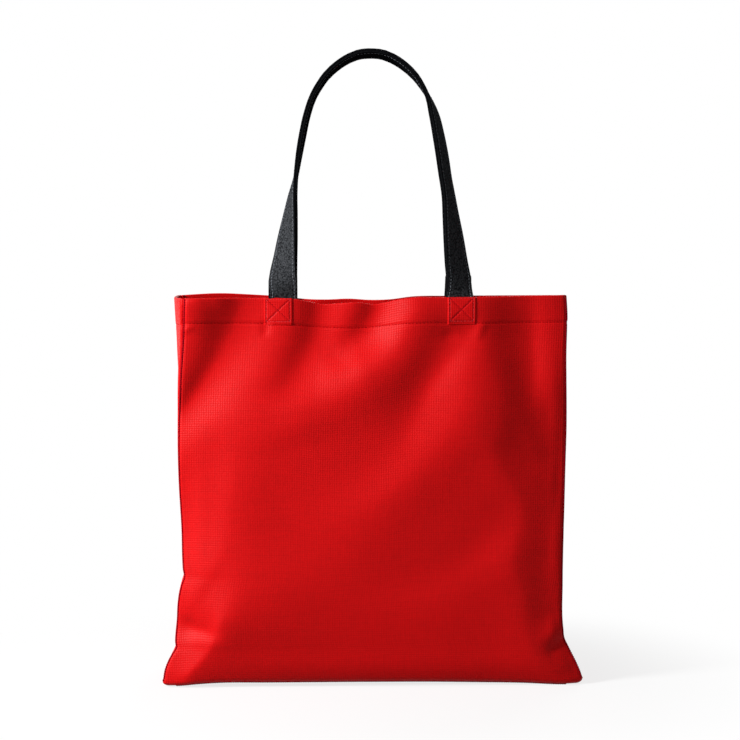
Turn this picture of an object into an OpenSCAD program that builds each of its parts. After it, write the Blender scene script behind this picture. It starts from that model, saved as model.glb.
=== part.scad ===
// Foldable tote bag: two canvas panels, side gussets that pleat inwards, a base that folds along its
// middle, a turned-in hem round the rim and two leather strap handles that stand up or hang down.
// Millimetres, +Z up, front towards -Y, origin on the floor under the middle of the base.

/* [Bag] */
// Width of the front and back panels at the rim
rim_w = 381; // [320:1:460]
// Width of the panels at the waist, just above the flared feet
waist_w = 370; // [310:1:450]
// Width of the panels across the two bottom corners
foot_w = 406; // [375:1:490]
// Height of the flared part of the panels' sides
flare_h = 70; // [30:1:120]
// Radius of the panels' bottom corners
corner_r = 9; // [2:1:20]
// Height of the rim above the floor
bag_h = 378; // [300:1:460]
// Depth between the front and back panels
depth = 90; // [70:1:130]
// Thickness of the canvas
cloth_t = 1.2; // [0.8:0.1:2]
// Width of the seam lip that stands out past each gusset at the waist
seam_lip = 1; // [0.5:0.5:4]

/* [Hem] */
// Height of the hem that is turned in round the rim
hem_h = 25; // [16:1:40]
// Thickness of the turned-in canvas
hem_t = 1; // [0.6:0.1:1.2]
// Distance that the hem stops short of each corner, to leave room for the pleat
hem_relief = 15; // [15:1:25]

/* [Patches] */
// Width of the patch sewn over each strap end
patch_w = 27; // [18:1:40]
// Height of the patch
patch_h = 26; // [18:1:40]
// Thickness of the patch
patch_t = 1; // [0.6:0.1:1.6]

/* [Handles] */
// Width of the leather strap
strap_w = 27; // [18:1:34]
// Thickness of each of the strap's two leather layers
leather_t = 1.8; // [1.2:0.1:2.2]
// Distance between the middles of a handle's two ends
handle_span = 172; // [130:1:220]
// Height of the handle's crown above the rim
handle_rise = 238; // [180:1:320]
// Height above the rim at which the strap bends
bend_h = 18; // [15:1:30]
// Length of strap that is sewn inside the hem
sewn_h = 24; // [12:1:38]
// Width across the shoulders of the arch
shoulder_w = 124; // [90:1:180]
// Height over which the arch's legs stay nearly upright
leg_h = 70; // [50:1:120]
// Height over which the front strap turns on edge
front_twist_h = 115; // [90:1:160]
// Height over which the hanging back strap turns on edge
back_twist_h = 140; // [120:1:170]
// Angle between the hanging back handle and the back panel
hang_angle = 15; // [15:1:40]

/* [Fit] */
// Clearance between pieces that move past each other
clearance = 0.3; // [0.2:0.05:0.5]
// Gap across the strap at its bend
bend_gap = 0.7; // [0.6:0.1:0.9]
// Thickness of the glue line between the strap's layers
glue_t = 0.1; // [0.05:0.05:0.2]

/* [Hidden] */
canvas = "#d4141c";
turned_canvas = "#b90f17";
leather = "#1c1d21";
lining = "#2a2b30";

// Inner faces of the panels, outer faces of the gussets, and the end of a pleat half at its seam
panel_y = depth / 2;
gusset_x = waist_w / 2 - seam_lip;
seam_end = panel_y - clearance;
// Inner face of the gussets, and the hem's two ends
gusset_in = gusset_x - cloth_t;
panel_hem_end = gusset_in - hem_relief;
gusset_hem_end = seam_end - hem_relief;
// Outer face of the straps, which lie against the hem
strap_y = panel_y - hem_t;
// Axis on which a strap bends: just outside its outer face, so the strap can fold back on itself
bend_y = strap_y + clearance;
bend_z = bag_h + bend_h;
arch_h = handle_rise - bend_h;

corner_steps = 5;
flare_steps = 9;
arch_steps = 32;

function smooth(u) = u * u * (3 - 2 * u);

// Half width of a panel at height z: straight from rim to waist, then flaring to a rounded foot
function corner_cut(z) =
    z < corner_r ? corner_r - sqrt(corner_r * corner_r - (corner_r - z) * (corner_r - z)) : 0;
function side_x(z) =
    z >= flare_h
        ? waist_w / 2 + (rim_w - waist_w) / 2 * (z - flare_h) / (bag_h - flare_h)
        : waist_w / 2 + (foot_w - waist_w) / 2 * smooth(1 - z / flare_h) - corner_cut(z);

side_levels = concat(
    [for (i = [0 : corner_steps - 1]) corner_r * (1 - cos(90 * i / corner_steps))],
    [for (i = [0 : flare_steps]) corner_r + (flare_h - corner_r) * i / flare_steps],
    [bag_h]
);
right_side = [for (z = side_levels) [side_x(z), z]];
left_side = [for (i = [len(right_side) - 1 : -1 : 0]) [-right_side[i][0], right_side[i][1]]];

// Half of the handle's arch, from its bend (w = 0) to its crown (w = 1), as half span and height
function arch_x(w) =
    (pow(1 - w, 3) + 3 * pow(1 - w, 2) * w) * handle_span / 2
    + 3 * (1 - w) * w * w * shoulder_w / 2;
function arch_z(w) =
    3 * pow(1 - w, 2) * w * leg_h + (3 * (1 - w) * w * w + w * w * w) * arch_h;
function arch_slope(w) = [
    3 * (1 - w) * w * (shoulder_w - handle_span) - 3 * w * w * shoulder_w / 2,
    3 * pow(1 - w, 2) * leg_h + 6 * (1 - w) * w * (arch_h - leg_h)
];

// Turn of the strap about its own length: it leaves the hem face on and reaches the crown on edge.
// The front strap turns at once, the hanging back strap only once it is clear of the rim.
function turn(z, twist_h, gently) =
    let (q = min(1, z / twist_h)) 90 * (gently ? smooth(q) : 1 - (1 - q) * (1 - q));

// Section of one layer of the strap, from near to far along the strap's face normal, at u from -1
// at the left end through 0 at the crown to 1 at the right end
function strap_ring(u, twist_h, gently, near, far) =
    let (
        w = 1 - abs(u),
        side = u > 0 ? 1 : -1,
        slope = arch_slope(w),
        along = [-slope[0], 0, -side * slope[1]] / norm(slope),
        inwards = [along[2], 0, -along[0]],
        angle = turn(arch_z(w), twist_h, gently),
        across = cos(angle) * inwards + sin(angle) * [0, -1, 0],
        face = cross(across, along),
        middle = [side * arch_x(w), 0, arch_z(w)]
    )
    [for (corner = [[-1, near], [1, near], [1, far], [-1, far]])
        middle + corner[0] * strap_w / 2 * across + corner[1] * face];

// One layer of a handle, swept along the whole arch
module strap_layer(twist_h, gently, near, far) {
    rings = [for (i = [-arch_steps : arch_steps])
        strap_ring(i / arch_steps, twist_h, gently, near, far)];
    points = [for (ring = rings) each ring];
    last = 4 * (len(rings) - 1);
    // The near and far faces are split along the same diagonal, so two layers lie parallel
    sides = [for (r = [0 : len(rings) - 2], k = [0 : 3])
        let (a = 4 * r + k, b = 4 * r + (k + 1) % 4)
        each k == 2
            ? [[a + 4, b, a], [a + 4, b + 4, b]]
            : [[b + 4, b, a], [a + 4, b + 4, a]]];
    ends = [[1, 2, 0], [2, 3, 0], [last + 2, last + 1, last], [last + 3, last + 2, last]];
    polyhedron(points, concat(sides, ends), convexity = 10);
}

// A layer in its place on the front of the bag, swung out and down by angle from upright
module hung_layer(angle, twist_h, gently, near, far) {
    translate([0, -bend_y, bend_z])
        rotate([angle, 0, 0])
            translate([0, clearance + leather_t + glue_t / 2, 0])
                strap_layer(twist_h, gently, near, far);
}

module leather_layer(angle, twist_h, gently) {
    color(leather)
        hung_layer(angle, twist_h, gently, glue_t / 2, glue_t / 2 + leather_t);
}

module lining_layer(angle, twist_h, gently) {
    color(lining)
        hung_layer(angle, twist_h, gently, -glue_t / 2 - leather_t, -glue_t / 2);
}

module to_back() {
    mirror([0, 1, 0]) children();
}

module to_left() {
    mirror([1, 0, 0]) children();
}

// The pieces below are drawn for the front, and on the right where they come in pairs

module panel() {
    color(canvas)
        translate([0, -panel_y, 0])
            rotate([90, 0, 0])
                linear_extrude(cloth_t)
                    polygon(concat(right_side, left_side));
}

module hem_facing() {
    color(turned_canvas)
        translate([-panel_hem_end, -panel_y, bag_h - hem_h])
            cube([2 * panel_hem_end, hem_t, hem_h]);
}

module patch() {
    color(canvas)
        translate([(handle_span - patch_w) / 2, -panel_y - cloth_t - patch_t, bag_h - patch_h])
            cube([patch_w, patch_t, patch_h]);
}

// Both leather layers of the strap where they are sewn inside the hem, up to the bend
module strap_end() {
    end_h = sewn_h + bend_h - bend_gap;
    translate([(handle_span - strap_w) / 2, -strap_y, bag_h - sewn_h]) {
        color(leather)
            cube([strap_w, leather_t, end_h]);
        color(lining)
            translate([0, leather_t + glue_t, 0])
                cube([strap_w, leather_t, end_h]);
    }
}

module gusset_half() {
    color(canvas)
        translate([gusset_in, -seam_end, cloth_t + clearance])
            cube([cloth_t, seam_end - clearance / 2, bag_h - cloth_t - clearance]);
}

module gusset_facing() {
    color(turned_canvas)
        translate([gusset_in - hem_t, -gusset_hem_end, bag_h - hem_h])
            cube([hem_t, gusset_hem_end - clearance / 2, hem_h]);
}

module base_half() {
    color(canvas)
        translate([-gusset_x, -seam_end, 0])
            cube([2 * gusset_x, seam_end - clearance / 2, cloth_t]);
}

panel();  // front_panel
hem_facing();  // front_hem_facing
to_left() patch();  // front_left_patch
patch();  // front_right_patch
to_left() strap_end();  // front_left_strap_end
strap_end();  // front_right_strap_end

to_back() panel();  // back_panel
to_back() hem_facing();  // back_hem_facing
to_back() to_left() patch();  // back_left_patch
to_back() patch();  // back_right_patch
to_back() to_left() strap_end();  // back_left_strap_end
to_back() strap_end();  // back_right_strap_end

to_left() gusset_half();  // left_gusset_front
to_back() to_left() gusset_half();  // left_gusset_back
gusset_half();  // right_gusset_front
to_back() gusset_half();  // right_gusset_back
to_left() gusset_facing();  // left_gusset_front_facing
to_back() to_left() gusset_facing();  // left_gusset_back_facing
gusset_facing();  // right_gusset_front_facing
to_back() gusset_facing();  // right_gusset_back_facing

base_half();  // base_front
to_back() base_half();  // base_back

leather_layer(0, front_twist_h, false);  // front_handle_leather
lining_layer(0, front_twist_h, false);  // front_handle_lining
to_back() leather_layer(180 - hang_angle, back_twist_h, true);  // back_handle_leather
to_back() lining_layer(180 - hang_angle, back_twist_h, true);  // back_handle_lining
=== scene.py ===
# %% [markdown]
# # A canvas tote bag that folds flat
# The bag is cut from one red canvas: two panels, two side gussets and a base. Each top edge is
# turned in and stitched, and two black leather straps are sewn inside the hem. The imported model
# gives its sizes, its bodies and its joints, so it is loaded first and nothing in it is moved.
# Cloth is shaped here in millimetres, because its folds are easiest to think of in that unit.

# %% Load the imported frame
import math
import bpy
import numpy as np
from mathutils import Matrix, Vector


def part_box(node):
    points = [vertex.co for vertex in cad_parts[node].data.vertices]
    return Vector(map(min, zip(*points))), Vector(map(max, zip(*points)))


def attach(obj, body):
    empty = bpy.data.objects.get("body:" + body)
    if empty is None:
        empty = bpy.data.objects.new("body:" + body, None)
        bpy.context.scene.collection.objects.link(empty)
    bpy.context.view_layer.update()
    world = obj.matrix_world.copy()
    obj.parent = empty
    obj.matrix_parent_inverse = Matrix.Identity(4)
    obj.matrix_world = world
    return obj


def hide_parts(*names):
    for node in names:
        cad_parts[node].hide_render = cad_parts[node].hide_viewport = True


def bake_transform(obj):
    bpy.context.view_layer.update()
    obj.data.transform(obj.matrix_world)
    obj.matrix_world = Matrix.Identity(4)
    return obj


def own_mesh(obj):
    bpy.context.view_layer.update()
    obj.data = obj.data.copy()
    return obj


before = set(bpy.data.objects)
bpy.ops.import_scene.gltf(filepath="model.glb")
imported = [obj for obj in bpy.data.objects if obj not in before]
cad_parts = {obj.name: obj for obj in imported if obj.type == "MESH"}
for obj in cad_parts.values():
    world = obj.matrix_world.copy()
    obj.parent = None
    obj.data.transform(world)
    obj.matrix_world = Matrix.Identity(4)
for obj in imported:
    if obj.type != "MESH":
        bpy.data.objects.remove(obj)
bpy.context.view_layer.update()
MM = 0.001

# %% [markdown]
# ## Sizes from the frame
# The panels stand 90 mm apart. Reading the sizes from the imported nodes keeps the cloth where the
# bag's own solids are, and it would follow them if the bag were made larger.

# %% Read the sizes
panel_low, panel_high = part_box("front_panel")
patch_low, patch_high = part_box("front_left_patch")
BAG_H = panel_high[2] / MM
FRONT_Y = (panel_low[1] + panel_high[1]) / 2 / MM
HEM_H = (panel_high[2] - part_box("front_hem_facing")[0][2]) / MM
STRAP_X = -(patch_low[0] + patch_high[0]) / 2 / MM
print("bag height", round(BAG_H, 1), "hem", round(HEM_H, 1), "strap at", round(STRAP_X, 1))

# %% [markdown]
# ## The camera
# The bag is seen almost from the front, a little from its left, from just above the rim. A long
# lens from nearly two metres keeps the sides of the bag upright.

# %% Camera
CAMERA_AZIMUTH = math.radians(-2)
CAMERA_TILT = math.radians(3.1)
CAMERA_DISTANCE = 1.832
CAMERA_HEIGHT = 0.404
camera_data = bpy.data.cameras.new("camera")
camera_data.lens = 90
camera_data.sensor_width = 36
camera = bpy.data.objects.new("camera", camera_data)
bpy.context.collection.objects.link(camera)
camera.location = (
    CAMERA_DISTANCE * math.sin(CAMERA_AZIMUTH),
    -CAMERA_DISTANCE * math.cos(CAMERA_AZIMUTH),
    CAMERA_HEIGHT,
)
camera.rotation_euler = (math.radians(90) - CAMERA_TILT, 0, CAMERA_AZIMUTH)
bpy.context.scene.camera = camera
print("camera at", [round(v, 3) for v in camera.location])

# %% [markdown]
# ## Colour and nodes
# A colour is easiest to pick as a hex value from a screen, but shaders count in linear light, so
# one function changes it. Another adds a node, sets it and links it in one line, so that each
# finish below reads like a recipe. The last one tells rays that only look from rays that light.

# %% Helpers for every finish
def colour(hex_value):
    channels = [int(hex_value[i:i + 2], 16) / 255 for i in (1, 3, 5)]
    linear = [c / 12.92 if c <= 0.04045 else ((c + 0.055) / 1.055) ** 2.4 for c in channels]
    return (*linear, 1)


def add_node(tree, kind, options=None, values=None, links=None):
    node = tree.nodes.new(kind)
    for name, value in (options or {}).items():
        setattr(node, name, value)
    for socket, value in (values or {}).items():
        node.inputs[socket].default_value = value
    for socket, source in (links or {}).items():
        tree.links.new(source, node.inputs[socket])
    return node


def new_finish(name):
    finish = bpy.data.materials.new(name)
    finish.use_nodes = True
    shader = finish.node_tree.nodes["Principled BSDF"]
    return finish, finish.node_tree, shader


def seen_plainly(tree):
    """One where the camera, a mirror ray or a ray through glass meets a surface, else nought."""
    ray = add_node(tree, "ShaderNodeLightPath")
    direct = add_node(tree, "ShaderNodeMath", {"operation": "MAXIMUM"},
                      links={0: ray.outputs["Is Camera Ray"], 1: ray.outputs["Is Glossy Ray"]})
    return add_node(tree, "ShaderNodeMath", {"operation": "MAXIMUM"},
                    links={0: direct.outputs[0], 1: ray.outputs["Is Transmission Ray"]})


print("red reads as", [round(c, 3) for c in colour("#CD080B")])

# %% [markdown]
# ## Floor and light
# The bag stands on a pale floor in a white studio. A large soft lamp high on the left models the
# folds, and the room gives a weak fill. Rays from the camera and mirror rays meet a plain white
# room, so the background is white without adding light to the cloth. The floor is part glow and
# part matt, so it stays white but still shows the shadow under the bag.

# %% Floor
# The glow is weakest near the bag, where its shadow falls.
SHADOW_NEAR = 0.2
SHADOW_FAR = 0.45
SHADOW_GLOW = 0.78
bpy.ops.object.select_all(action="DESELECT")
bpy.ops.mesh.primitive_plane_add(size=12, location=(0, 0, -0.0006))
floor = bpy.context.object
floor.name = "floor"
floor_finish, floor_tree, floor_shader = new_finish("white_studio_floor")
floor_shader.inputs["Roughness"].default_value = 0.9
floor_shader.inputs["Specular IOR Level"].default_value = 0.1
glow = add_node(floor_tree, "ShaderNodeEmission", values={"Strength": 1.0})
direct = seen_plainly(floor_tree)
spot = add_node(floor_tree, "ShaderNodeTexCoord")
reach = add_node(floor_tree, "ShaderNodeVectorMath", {"operation": "LENGTH"},
                 links={0: spot.outputs["Object"]})
far = add_node(floor_tree, "ShaderNodeMapRange", {"interpolation_type": "SMOOTHSTEP"},
               {"From Min": SHADOW_NEAR, "From Max": SHADOW_FAR, "To Min": SHADOW_GLOW, "To Max": 1.0},
               {"Value": reach.outputs["Value"]})
share = add_node(floor_tree, "ShaderNodeMath", {"operation": "MULTIPLY"},
                 links={0: direct.outputs[0], 1: far.outputs[0]})
pale = add_node(floor_tree, "ShaderNodeMapRange", values={"To Min": 0.3, "To Max": 0.92},
                links={"Value": direct.outputs[0]})
floor_tree.links.new(pale.outputs[0], floor_shader.inputs["Base Color"])
mixed = add_node(floor_tree, "ShaderNodeMixShader", links={
    0: share.outputs[0], 1: floor_shader.outputs[0], 2: glow.outputs[0]})
floor_tree.links.new(mixed.outputs[0], floor_tree.nodes["Material Output"].inputs[0])
floor.data.materials.append(floor_finish)
print(floor.name, floor_finish.name)

# %% Room and lamps
ROOM_FILL = 0.17
world = bpy.data.worlds.new("white_room")
world.use_nodes = True
room = world.node_tree
room.nodes.clear()
strength = add_node(room, "ShaderNodeMapRange", values={"To Min": ROOM_FILL, "To Max": 1.0},
                    links={"Value": seen_plainly(room).outputs[0]})
sky = add_node(room, "ShaderNodeBackground", values={"Color": (1, 1, 1, 1)},
               links={"Strength": strength.outputs[0]})
add_node(room, "ShaderNodeOutputWorld", links={0: sky.outputs[0]})
bpy.context.scene.world = world
bpy.context.scene.view_settings.view_transform = "Standard"


def add_lamp(name, place, aim, size, watts):
    lamp_data = bpy.data.lights.new(name, "AREA")
    lamp_data.shape = "DISK"
    lamp_data.size = size
    lamp_data.energy = watts
    lamp = bpy.data.objects.new(name, lamp_data)
    bpy.context.collection.objects.link(lamp)
    lamp.location = place
    away = [a - b for a, b in zip(place, aim)]
    level = math.hypot(away[0], away[1])
    lamp.rotation_euler = (math.atan2(level, away[2]), 0, math.atan2(away[0], -away[1]))
    return lamp


add_lamp("key_lamp", (-1.66, -0.83, 1.16), (0, 0, 0.22), 0.55, 62)
add_lamp("front_fill", (0.2, -2.6, 0.9), (0, 0, 0.25), 1.6, 3)
add_lamp("back_fill", (0.9, 2.2, 1.3), (0, 0, 0.25), 1.6, 18)

# %% [markdown]
# ## Red cotton canvas
# Canvas is a plain weave: each yarn goes over one and under the next. Two wave patterns, one
# along the cut and one across it, give that even grid of little humps. Yarns are spun a little
# uneven, so long thin streaks run both ways. The cloth is pressed and sized, so it has a weak, broad
# gloss that pales the folds that face the lamp. The pattern follows the UV map, which holds the
# flat cut in metres.

# %% Canvas
def wave_scale(repeat_mm):
    """A wave texture of scale 1 repeats every 2 pi / 20."""
    return 2 * math.pi / (20 * repeat_mm * MM)


# The real yarns lie about 0.5 mm apart, under half a pixel, so they are drawn at 2.2 mm.
YARN_MM = 2.2
canvas, tree, shader = new_finish("red_cotton_canvas")
cut = add_node(tree, "ShaderNodeUVMap", {"uv_map": "cut"})
# A little distortion makes the yarns wander, as spun yarns do.
uneven = {"Scale": wave_scale(YARN_MM), "Distortion": 1.8, "Detail": 1.0, "Detail Scale": 2.5}
warp = add_node(tree, "ShaderNodeTexWave", {"bands_direction": "X"}, uneven, {"Vector": cut.outputs[0]})
weft = add_node(tree, "ShaderNodeTexWave", {"bands_direction": "Y"}, uneven, {"Vector": cut.outputs[0]})
weave = add_node(tree, "ShaderNodeMath", {"operation": "ADD"},
                 links={0: warp.outputs["Fac"], 1: weft.outputs["Fac"]})
# A slub is about 22 mm long and one drawn yarn wide.
SLUB_LENGTH_MM = 22
streaks = []
slub_scale = (1 / (SLUB_LENGTH_MM * MM), 1 / (YARN_MM * MM), 1)
for stretch in (slub_scale, (slub_scale[1], slub_scale[0], 1)):
    lay = add_node(tree, "ShaderNodeMapping", values={"Location": stretch, "Scale": stretch},
                   links={"Vector": cut.outputs[0]})
    streaks.append(add_node(tree, "ShaderNodeTexNoise", values={"Scale": 1.0, "Detail": 2.0},
                            links={"Vector": lay.outputs[0]}))
slub = add_node(tree, "ShaderNodeMath", {"operation": "ADD"},
                links={0: streaks[0].outputs["Fac"], 1: streaks[1].outputs["Fac"]})
tone = add_node(tree, "ShaderNodeMapRange", values={"From Min": 0.7, "From Max": 1.3},
                links={"Value": slub.outputs[0]})
yarn = add_node(tree, "ShaderNodeMix", {"data_type": "RGBA"},
                {6: colour("#CD080B"), 7: colour("#D7090C")}, {0: tone.outputs[0]})
gap = add_node(tree, "ShaderNodeMapRange", values={"From Max": 2.0, "To Min": 0.905, "To Max": 1.0},
               links={"Value": weave.outputs[0]})
dyed = add_node(tree, "ShaderNodeMix", {"data_type": "RGBA", "blend_type": "MULTIPLY"},
                values={0: 1.0}, links={6: yarn.outputs[2], 7: gap.outputs[0]})
relief = add_node(tree, "ShaderNodeMath", {"operation": "MULTIPLY_ADD"}, {1: 0.35},
                  {0: slub.outputs[0], 2: weave.outputs[0]})
bump = add_node(tree, "ShaderNodeBump", values={"Strength": 0.28, "Distance": 0.0003},
                links={"Height": relief.outputs[0]})
tree.links.new(dyed.outputs[2], shader.inputs["Base Color"])
tree.links.new(bump.outputs[0], shader.inputs["Normal"])
shader.inputs["Roughness"].default_value = 0.5
shader.inputs["Specular IOR Level"].default_value = 0.1
print(canvas.name, "yarn", YARN_MM, "mm")

# %% [markdown]
# ## Black grained leather
# Strap leather is dyed through and pressed with a fine pebble grain. The pebbles are low cells
# with creases between them. Its finish is dull, so the strap that faces the lamp is a soft grey
# and the one that turns away is nearly black, with no white glare on edge. In place of gloss, the
# tops of the pebbles are painted paler and the creases darker: painted glints and painted shade of
# the grain, mixed with a random blotchy tone. The inner layer and the painted edges are smoother
# and darker than the outer face.

# %% Leather
# Real pebbles are about 0.7 mm across, and they are drawn at 1.7 mm so that they show.
PEBBLE_MM = 1.7
BLOTCH_MM = 1.6


def make_leather(name, dark, light, grain):
    finish, tree, shader = new_finish(name)
    spot = add_node(tree, "ShaderNodeTexCoord")
    pebbles = add_node(tree, "ShaderNodeTexVoronoi", {"feature": "SMOOTH_F1"},
                       {"Scale": 1 / (PEBBLE_MM * MM), "Smoothness": 0.5},
                       {"Vector": spot.outputs["Object"]})
    blotch = add_node(tree, "ShaderNodeTexNoise", values={"Scale": 1 / (BLOTCH_MM * MM), "Detail": 3.0},
                      links={"Vector": spot.outputs["Object"]})
    # Paler pebble tops and darker creases are painted glints and painted shade of the grain; the blotch
    # noise adds a random tone.
    glint_and_blotch = add_node(tree, "ShaderNodeMath", {"operation": "MULTIPLY_ADD"}, {1: -0.7},
                    {0: pebbles.outputs["Distance"], 2: blotch.outputs["Fac"]})
    shade = add_node(tree, "ShaderNodeMapRange", values={"From Min": -0.1, "From Max": 0.4},
                     links={"Value": glint_and_blotch.outputs[0]})
    dye = add_node(tree, "ShaderNodeMix", {"data_type": "RGBA"},
                   {6: colour(dark), 7: colour(light)}, {0: shade.outputs[0]})
    satin = add_node(tree, "ShaderNodeMapRange", values={"To Min": 0.5, "To Max": 0.7},
                     links={"Value": blotch.outputs["Fac"]})
    bump = add_node(tree, "ShaderNodeBump", {"invert": True}, {"Strength": grain, "Distance": 0.0004},
                    {"Height": pebbles.outputs["Distance"]})
    tree.links.new(dye.outputs[2], shader.inputs["Base Color"])
    tree.links.new(satin.outputs[0], shader.inputs["Roughness"])
    tree.links.new(bump.outputs[0], shader.inputs["Normal"])
    shader.inputs["Specular IOR Level"].default_value = 0.0
    return finish


leather = make_leather("black_grained_leather", "#191A1C", "#444649", 1.0)
lining = make_leather("black_edge_painted_leather", "#0B0B0D", "#141517", 0.3)
print(leather.name, lining.name, "pebble", PEBBLE_MM, "mm")

# %% [markdown]
# ## Sewing thread
# Spun polyester thread is a twist of fibres, and the twist shows as fine slanted bands. Red thread
# sews the hem, a paler one the boxes on the patches, a maroon one edges the seams and crosses the
# patches, and a grey-black one sews the straps. The paler box thread is a painted highlight, the
# dark maroon is painted shade of the seam grooves and the cross channels, and the grey of the
# black strap thread is a painted glint.

# %% Thread
# The twist repeats every 0.5 mm, and it is drawn at 0.9 mm so that it shows.
TWIST_MM = 0.9


def make_thread(name, dark, light):
    finish, tree, shader = new_finish(name)
    spot = add_node(tree, "ShaderNodeTexCoord")
    twist = add_node(tree, "ShaderNodeTexWave", {"bands_direction": "DIAGONAL"},
                     {"Scale": wave_scale(TWIST_MM)}, {"Vector": spot.outputs["Object"]})
    ply = add_node(tree, "ShaderNodeMix", {"data_type": "RGBA"},
                   {6: colour(dark), 7: colour(light)}, {0: twist.outputs["Fac"]})
    tree.links.new(ply.outputs[2], shader.inputs["Base Color"])
    shader.inputs["Roughness"].default_value = 0.7
    shader.inputs["Specular IOR Level"].default_value = 0.0
    return finish


red_thread = make_thread("red_polyester_thread", "#9C080C", "#C00B10")
# The paler thread on the patch boxes is a painted highlight of the stitching.
pale_painted_highlight_thread = make_thread("pink_red_thread_painted_highlight", "#B4181E", "#E04C52")
# Its dark maroon is painted shade of the seam grooves and of the channels of the patch crosses.
maroon_painted_shade_thread = make_thread("maroon_thread_painted_shade", "#820A16", "#A80E1C")
# The thread is black; its grey colour is a painted glint along the strap stitching.
grey_glint_black_thread = make_thread("black_polyester_thread_painted_grey_glint", "#55585E", "#868A91")
print(red_thread.name, grey_glint_black_thread.name)

# %% [markdown]
# ## Smooth lines
# A tailor draws an edge through a few marks. The same works here: a few pairs of place and value
# give a smooth line, a curve runs through marks in a plane, and a soft step blends one shape into
# the next.

# %% Lines through marks
def line_through(marks):
    at, value = np.array(marks, float).T
    slope = np.gradient(value, at)

    def line(t):
        t = np.clip(t, at[0], at[-1])
        i = np.clip(np.searchsorted(at, t) - 1, 0, len(at) - 2)
        step = at[i + 1] - at[i]
        k = (t - at[i]) / step
        ends = (1 + 2 * k) * (1 - k) ** 2 * value[i] + k * k * (3 - 2 * k) * value[i + 1]
        return ends + k * (1 - k) ** 2 * step * slope[i] + k * k * (k - 1) * step * slope[i + 1]
    return line


def soft_step(start, end, t):
    k = np.clip((t - start) / (end - start), 0, 1)
    return k * k * (3 - 2 * k)


def run_along(points):
    """The distance of each point from the start of its line."""
    return np.concatenate([[0], np.cumsum(np.linalg.norm(np.diff(points, axis=0), axis=1))])


def curve_through(marks, count):
    """Evenly spaced points on a smooth curve through marks in a plane."""
    marks = np.array(marks, float)
    run = run_along(marks)
    at = np.linspace(0, 1, count) * run[-1]
    return [line_through(np.column_stack([run, marks[:, k]]))(at) for k in (0, 1)]


def unit(vectors):
    return vectors / np.linalg.norm(vectors, axis=1)[:, None]


print("half way of a soft step", float(soft_step(0, 1, 0.5)))

# %% [markdown]
# ## The outline of the front
# The front panel is nearly square. Its sides draw in towards the waist, and the bottom corners
# stick out as small ears, where the cloth of the base is folded into the seams. The left seam
# leans, because the mouth stands open there. All marks are in millimetres. An edge's marks give
# height first, and the marks of the rim, the hem row and the foot give the place across first.

# %% Edges of the front panel
front_left = line_through([
    (0, -199), (3, -202.5), (8, -201.8), (15, -200.7), (25, -197), (32, -193.1), (38, -189.6),
    (42, -190.2), (50, -190), (64, -188.8), (79, -187.8), (94, -185.4), (101, -183.4),
    (107, -181.3), (113, -182.4), (120, -182.9), (150, -183.8), (200, -186.1), (275, -185.6),
    (300, -184.2), (335, -181.6), (BAG_H, -179.6)])
front_right = line_through([
    (0, 202), (3, 205.4), (9, 204.3), (20, 199.9), (34, 192.9), (44, 187.8), (55, 186), (100, 184.9),
    (150, 185.6), (200, 186.7), (240, 187.9), (320, 187.8), (365, 188.3), (BAG_H, 187.3)])
print("foot width", round(float(front_right(0) - front_left(0)), 1))

# %% Rim, hem row and foot of the front panel
def rim_line(marks):
    """A line given by its heights above the bag's own height."""
    return line_through([(x, BAG_H + up) for x, up in marks])


front_rim = rim_line([
    (-190, -1.8), (-105, -1.5), (-84, -1.7), (-70, -3.0), (-60, -5.2), (-49, -7.4), (-31, -6.5),
    (-11, -5.8), (1, -7.6), (13, -5.8), (24, -3.2), (42, -0.7), (60, -0.6), (110, -0.4),
    (150, 0.6), (190, 1.4)])
front_hem = rim_line([
    (-190, -25.4), (-107, -25.6), (-78, -26.7), (-60, -28.4), (-40, -29.7), (-21, -29.8), (-6, -29.5),
    (8, -28.4), (28, -25.9), (42, -25.0), (72, -24.6), (106, -25.0), (190, -24.2)])
front_foot = line_through([
    (-206, 0.6), (-190, 1.2), (-172, 3.2), (-150, 4.4), (-100, 4.2), (0, 4.0), (60, 3.6), (110, 2.6),
    (150, 1.8), (180, 0.6), (206, 0.4)])
print("rim width", round(float(front_right(BAG_H) - front_left(BAG_H)), 1))

# %% [markdown]
# ## Folds in the cloth
# Canvas is stiff, so it hangs in a few broad folds. Each one runs along a line, is highest along
# that line and dies away to both sides, often faster on one side than on the other. Adding them
# to a gentle pillow shape gives the front its light and shade. A simulation would also give
# folds, but never the ones this bag has. Most numbers of the front's folds and of its pillow were
# not chosen by hand: a first list was drawn, and a fit to the light and shade of the
# picture then moved it. The small tucks and puckers at the end of the list were added one by one.

# %% One fold
FOLD_STEPS = 24


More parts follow.
